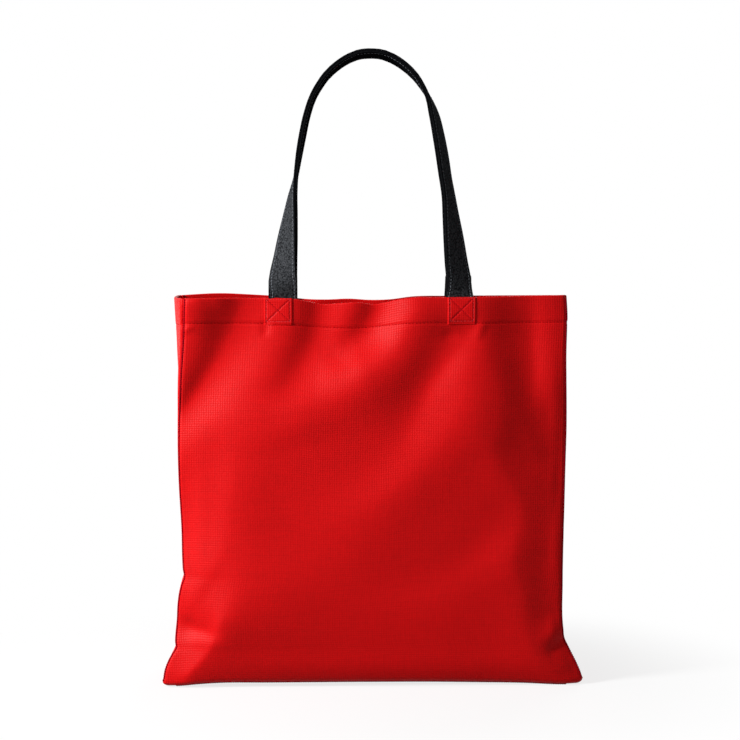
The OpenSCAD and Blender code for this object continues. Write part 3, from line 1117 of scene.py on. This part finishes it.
# %% Sew the cloth
# The seam rows are drawn in dark maroon thread, which is painted shade of the seam grooves.
threads = [sew("front_seam_stitches", seam_rows(), maroon_painted_shade_thread, SEAM_PITCH, SEAM_GIRTH)]
for panel in ("front", "back"):
    rows = hem_row(panel) + hem_row_inside(panel)
    threads.append(sew(f"{panel}_hem_stitches", rows, red_thread, HEM_PITCH))
for side, hand in (("left", -1), ("right", 1)):
    threads.append(sew(f"{side}_gusset_stitches", gusset_row(hand), red_thread, HEM_PITCH))
for panel in ("front", "back"):
    # The box is drawn in paler thread, a painted highlight, and the cross in dark maroon, painted shade
    # of its channels.
    for kind, finish in (("box", pale_painted_highlight_thread), ("cross", maroon_painted_shade_thread)):
        rows = patch_rows(panel + "_left", kind) + patch_rows(panel + "_right", kind)
        threads.append(sew(f"{panel}_{kind}_stitches", rows, finish, PATCH_PITCH, PATCH_GIRTH))

# %% [markdown]
# ## Leather straps
# Each strap is two layers of leather, glued and sewn along both edges. It lies flat inside the
# hem, comes up over the rim, and turns on edge within a hand's width, so at the crown it lies
# flat in the hand. A cylinder's rings are moved along the strap's line, one ring every few
# millimetres, and each ring is given the strap's section with its stitch grooves.

# %% The strap's section
STRAP_W = 28.0
STRAP_T = 4.5
GROOVE_INSET = 3.2
PAINTED_EDGE = 0.7
half_w, half_t = STRAP_W / 2, STRAP_T / 2
groove = half_w - GROOVE_INSET
upper = [
    (half_w - 0.45, 0.0), (half_w - 0.05, 0.35), (half_w, half_t - 0.8), (half_w - 0.25, half_t - 0.3),
    (half_w - 0.9, half_t), (groove + 1.0, half_t + 0.05), (groove, half_t - 0.3),
    (groove - 1.0, half_t + 0.05), (half_w * 0.4, half_t + 0.1), (0, half_t + 0.1)]
quarter = upper + [(-a, b) for a, b in upper[-2::-1]]
SECTION = np.array(quarter + [(-a, -b) for a, b in quarter[1:-1]])
print("section points", len(SECTION))

# %% [markdown]
# The front strap stands up in a tall arch. Its line is a curve from the rim to the crown and its
# mirror image, and the strap turns faster on the left than on the right. Below the rim it lies
# flat against the inside of the hem, so its line starts where the hem is.

# %% The front strap's line
HINGE_Z = BAG_H + 18
SEWN_Z = BAG_H - 24
SEWN_RINGS = 16
ARCH_RINGS = 96
ARCH_SHIFT = -0.7
FREE_Y = -40.2
LAID_IN = 2 * RIM_R + CLOTH_MM / 2 + STRAP_T / 2 + 0.25
# Half of the arch from the bend to the crown, as half span and height above the rim
ARCH = [
    (84.8, 18), (82.2, 39.2), (80, 58.4), (77.6, 77.7), (75.3, 97), (72, 116.4), (69.1, 135.7),
    (65.6, 155), (61.4, 174.3), (54.7, 193.5), (49.3, 202.8), (42.8, 211.9), (32.7, 221.3),
    (21.8, 228.4), (10.9, 232.6), (0, 233.7)]


def there_and_back(half):
    return np.concatenate([half, half[-2::-1]])


def left_then_right(half):
    """The side of each ring of a whole strap, -1 up to the crown and 1 after it."""
    return np.where(np.arange(2 * len(half) - 1) < len(half), -1, 1)


arch_x, arch_z = curve_through(ARCH, ARCH_RINGS)
half_x = np.concatenate([np.full(SEWN_RINGS, ARCH[0][0]), arch_x])
half_z = np.concatenate([np.linspace(SEWN_Z, HINGE_Z, SEWN_RINGS, endpoint=False), BAG_H + arch_z])
strap_hand = left_then_right(half_x)
line_x = there_and_back(half_x) * strap_hand + ARCH_SHIFT
line_z = there_and_back(half_z)
sewn_y = front_face(strap_hand * STRAP_X, np.full(len(line_z), BAG_H - 12.0)) + LAID_IN
line_y = sewn_y + (FREE_Y - sewn_y) * soft_step(BAG_H - 4, BAG_H + 40, line_z)
front_line = np.column_stack([line_x, line_y, line_z])
print("front strap", round(float(run_along(front_line)[-1])), "mm long")

# %% How the front strap turns
def hem_lean(hand):
    """How far the hem turns, in degrees, where a strap lies against it."""
    x = hand * STRAP_X + np.array([-13.0, 13.0])
    y = front_face(x, np.full(2, BAG_H - 6.0))
    return math.degrees(math.atan2(hand * (y[1] - y[0]), 26))


# Height above the rim, and degrees
front_turn = {
    -1: line_through([
        (-24, hem_lean(-1)), (-9, hem_lean(-1)), (2, -14), (8, -6), (18, 17), (30, 33), (59, 54),
        (79, 67), (98, 79), (115, 89), (135, 94), (196, 95), (238, 96), (300, 96)]),
    1: line_through([
        (-24, hem_lean(1)), (-4, hem_lean(1)), (2, 16), (6, 25), (12, 30), (18, 33), (30, 38),
        (59, 49), (79, 58), (98, 65), (137, 67), (157, 69), (176, 73), (196, 85), (215, 92),
        (238, 96), (300, 96)]),
}
print("hem leans", [round(hem_lean(hand), 1) for hand in (-1, 1)])

# %% [markdown]
# ## Rings along a line
# A strap keeps its section all along, so one section is carried down the line. The direction of
# its width is what turns: across the bag at the rim, front to back at the crown.

# %% Make a strap
def strap_frames(line, width_way):
    ahead = unit(np.gradient(line, axis=0))
    wide = square_to(ahead, width_way)
    return wide, np.cross(wide, ahead)


def make_strap(name, line, wide, thick):
    rings, around = len(line), len(SECTION)
    bpy.ops.object.select_all(action="DESELECT")
    bpy.ops.mesh.primitive_cylinder_add(vertices=around, radius=1, depth=1, end_fill_type="NGON")
    piece = new_piece(name)
    bpy.ops.object.mode_set(mode="EDIT")
    bpy.ops.mesh.select_mode(type="EDGE")
    bpy.ops.mesh.select_all(action="DESELECT")
    bpy.ops.object.mode_set(mode="OBJECT")
    for edge in piece.data.edges:
        a, b = (piece.data.vertices[i].co for i in edge.vertices)
        edge.select = abs(a.z - b.z) > 0.5
    bpy.ops.object.mode_set(mode="EDIT")
    bpy.ops.mesh.subdivide(number_cuts=rings - 2)
    bpy.ops.object.mode_set(mode="OBJECT")
    spot = spots(piece)
    ring = np.rint((spot[:, 2] + 0.5) * (rings - 1)).astype(int)
    angle = np.arctan2(spot[:, 1], spot[:, 0]) - math.pi / 2
    order = np.rint(angle / (2 * math.pi) * around).astype(int) % around
    a, b = SECTION[order, 0], SECTION[order, 1]
    move_to(piece, line[ring] + wide[ring] * a[:, None] + thick[ring] * b[:, None])
    outward(piece)
    bpy.ops.object.shade_smooth_by_angle(angle=math.radians(50))
    piece.data.materials.append(leather)
    piece.data.materials.append(lining)
    for face in piece.data.polygons:
        across, up = np.abs(a[face.vertices]).mean(), b[face.vertices].mean()
        face.material_index = int(up < 0.1 or across > STRAP_W / 2 - PAINTED_EDGE)
    print(name, len(piece.data.polygons), "faces")
    return piece


def inner_side(line):
    ahead = unit(np.gradient(line, axis=0))
    return np.column_stack([ahead[:, 2], np.zeros(len(line)), -ahead[:, 0]])


height = front_line[:, 2] - BAG_H
angle = np.radians(np.where(strap_hand < 0, front_turn[-1](height), front_turn[1](height)))
width_way = inner_side(front_line) * np.cos(angle)[:, None]
width_way[:, 1] -= np.sin(angle)
front_wide, front_thick = strap_frames(front_line, width_way)
front_strap = make_strap("front_leather_strap", front_line, front_wide, front_thick)

# %% [markdown]
# ## The strap at the back
# The back strap isn't seen in the picture, so it is taken to have fallen over the rim. It comes
# up inside the hem, bends over in a small loop and hangs down behind the bag at a slant, turning
# on edge towards its crown. It swings a long way, so it is made in three lengths that meet in the
# loops, at the hinge: two ends that stay in the hem, and the handle between them.

# %% The back strap's line
ARCH_H = 220
ARCH_LEG = 70
ARCH_SHOULDER = 62
HANG = math.radians(165)
HINGE_Y = 44.3
STRAP_OFF = 2.15
LOOP_R = 3.3
LOOP_FROM = 1.9
UP_RINGS = 12
LOOP_RINGS = 17
BACK_SPREAD = 1.0343
BACK_SHIFT = 2.45


def half_arch(count):
    """From a leg to the crown, as half span and height above the hinge."""
    w = np.linspace(0, 1, count)
    bend, over = 3 * (1 - w) ** 2 * w, 3 * (1 - w) * w ** 2
    x = (1 - w) ** 3 * STRAP_X + bend * STRAP_X + over * ARCH_SHOULDER
    return x, bend * ARCH_LEG + (over + w ** 3) * ARCH_H


arch_x, arch_z = half_arch(80)
keep = arch_z > LOOP_FROM
arch_x, arch_z = arch_x[keep], arch_z[keep]
hang_y = HINGE_Y - STRAP_OFF * math.cos(HANG) + arch_z * math.sin(HANG)
hang_z = HINGE_Z + STRAP_OFF * math.sin(HANG) + arch_z * math.cos(HANG)
inside_y = float(back_face(np.array(STRAP_X), np.array(BAG_H - 12.0))) - LAID_IN
lean = math.pi - HANG
loop_y, loop_z = inside_y + LOOP_R, float(hang_z[0]) - LOOP_R * math.sin(lean)
# The hanging length starts where the loop ends, and is back on its slant after 110 mm.
off = loop_y + LOOP_R * math.cos(lean) - float(hang_y[0])
hang_y = hang_y + off * (1 - soft_step(0, 110, arch_z - arch_z[0]))
round_way = np.linspace(math.pi, lean, LOOP_RINGS, endpoint=False)
up_z = np.linspace(SEWN_Z, loop_z, UP_RINGS, endpoint=False)
half_x = np.concatenate([np.full(UP_RINGS + LOOP_RINGS, STRAP_X), arch_x])
half_y = np.concatenate([np.full(UP_RINGS, inside_y), loop_y + LOOP_R * np.cos(round_way), hang_y])
half_z = np.concatenate([up_z, loop_z + LOOP_R * np.sin(round_way), hang_z])
back_hand = left_then_right(half_x)
back_x = there_and_back(half_x) * back_hand * BACK_SPREAD + BACK_SHIFT
back_line = np.column_stack([back_x, there_and_back(half_y), there_and_back(half_z)])
print("back strap", round(float(run_along(back_line)[-1])), "mm long")

# %% How the back strap turns
BACK_NARROW = 0.93
fallen = there_and_back(np.concatenate([np.zeros(UP_RINGS + LOOP_RINGS), arch_z]))
angle = np.radians(90) * soft_step(0, 140, fallen)
ahead = unit(np.gradient(back_line, axis=0))
slope = np.array([0, math.sin(HANG), math.cos(HANG)])
flat_way = np.outer(ahead @ slope, [1, 0, 0]) - np.outer(ahead[:, 0], slope)
# Up to the end of the loop the strap lies across the bag.
flat_way = np.where(fallen[:, None] == 0, np.outer(-back_hand, [1, 0, 0]), flat_way)
face_way = np.array([0, -math.cos(HANG), math.sin(HANG)])
width_way = flat_way * np.cos(angle)[:, None] + face_way * np.sin(angle)[:, None]
back_wide, back_thick = strap_frames(back_line, width_way)
back_wide = back_wide * BACK_NARROW
print("turned at the crown", round(float(np.degrees(angle.max()))), "degrees")

# %% The back strap in three lengths
# The ring nearest to the hinge parts the sewn ends from the length that swings.
from_hinge = np.hypot(half_y - HINGE_Y, half_z - HINGE_Z)
first = int(np.argmin(from_hinge))
last = len(back_line) - 1 - first
print("cut", first, "is", round(float(from_hinge[first]), 2), "mm from the hinge")
cut_ends = {"back_left_leather_end": [-1], "back_leather_strap": [0, -1], "back_right_leather_end": [0]}


def back_lengths(*stops):
    """The rings of each length: the left end's stop, the handle's two and the right end's start."""
    parts = (slice(0, stops[0]), slice(stops[1], stops[2]), slice(stops[3], len(back_line)))
    return dict(zip(cut_ends, parts))


def rounded(rings, end):
    """Closes a cut in a half round inside the next length, so that the two can turn."""
    line, wide, thick = rings
    ahead = line[end] - line[1 if end == 0 else -2]
    turn = np.radians([30, 60, 85])
    more = [line[end] + np.outer(np.sin(turn), ahead / np.linalg.norm(ahead)) * STRAP_T / 2,
            np.tile(wide[end] * 0.98, (len(turn), 1)), np.outer(np.cos(turn), thick[end])]
    if end == 0:
        return [np.concatenate([new[::-1], old]) for new, old in zip(more, rings)]
    return [np.concatenate([old, new]) for new, old in zip(more, rings)]


back_parts = back_lengths(first + 1, first, last + 1, last)
back_straps = {}
for name, part in back_parts.items():
    rings = [back_line[part], back_wide[part], back_thick[part]]
    for end in cut_ends[name]:
        rings = rounded(rings, end)
    back_straps[name] = make_strap(name, *rings)

# %% [markdown]
# ## Edge stitching on the straps
# A row of black thread runs along both edges and holds the two layers together. It lies in the
# grooves of the section, on both faces.

# %% Sew the straps
STRAP_PITCH = 3.3


def strap_rows(line, wide, thick):
    rows = []
    for across in (-1, 1):
        for face in (-1, 1):
            lift = face * (half_t - 0.05)
            rows.append((line + wide * across * groove + thick * lift, thick * face))
    return rows


front_strap_thread = sew("front_strap_stitches", strap_rows(front_line, front_wide, front_thick),
                         grey_glint_black_thread, STRAP_PITCH)
# The rows on the back strap stop short of the cuts, where the lengths turn on each other.
SHORT = 5
sewn_parts = back_lengths(first - SHORT, first + SHORT, last - SHORT, last + SHORT)
back_threads = {}
for name, part in sewn_parts.items():
    rows = strap_rows(back_line[part], back_wide[part], back_thick[part])
    back_threads[name] = sew(name + "_stitches", rows, grey_glint_black_thread, STRAP_PITCH)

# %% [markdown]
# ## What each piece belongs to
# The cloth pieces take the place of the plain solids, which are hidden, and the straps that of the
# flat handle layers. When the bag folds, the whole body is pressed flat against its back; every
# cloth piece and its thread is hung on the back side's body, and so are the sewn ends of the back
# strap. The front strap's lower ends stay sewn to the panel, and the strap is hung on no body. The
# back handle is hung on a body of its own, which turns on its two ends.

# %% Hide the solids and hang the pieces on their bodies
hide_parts("front_panel", "front_hem_facing")
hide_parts("back_panel", "back_hem_facing")
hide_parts("left_gusset_front", "left_gusset_back",
            "left_gusset_front_facing", "left_gusset_back_facing")
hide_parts("right_gusset_front", "right_gusset_back",
            "right_gusset_front_facing", "right_gusset_back_facing")
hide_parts("base_front", "base_back")
for place, patch in patches.items():
    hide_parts(place + "_patch")
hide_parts("front_handle_leather", "front_handle_lining",
            "front_left_strap_end", "front_right_strap_end")
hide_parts("back_handle_leather", "back_handle_lining")
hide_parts("back_left_strap_end")
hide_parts("back_right_strap_end")
cloth = [front_cloth, back_cloth, left_gusset, right_gusset, base_cloth, *patches.values()]
back_ends = [piece for name in back_parts if name.endswith("end")
             for piece in (back_straps[name], back_threads[name])]
for piece in cloth + threads + back_ends:
    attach(piece, "back_side")
    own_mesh(piece)
for piece in (front_strap, front_strap_thread):
    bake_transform(piece)
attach(back_straps["back_leather_strap"], "back_handle")
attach(back_threads["back_leather_strap"], "back_handle")
print(len(cloth), "cloth pieces fold with the bag")

# %% [markdown]
# ## The cuts
# Each sheet is declared with the size of its flat cut in metres, so that the cloth on the bag can
# be compared with the cloth it was cut from.

strap_lines = [(front_strap, front_line)]
strap_lines += [(back_straps[name], back_line[part]) for name, part in back_parts.items()]
print("sheets", len(cloth) + len(strap_lines))
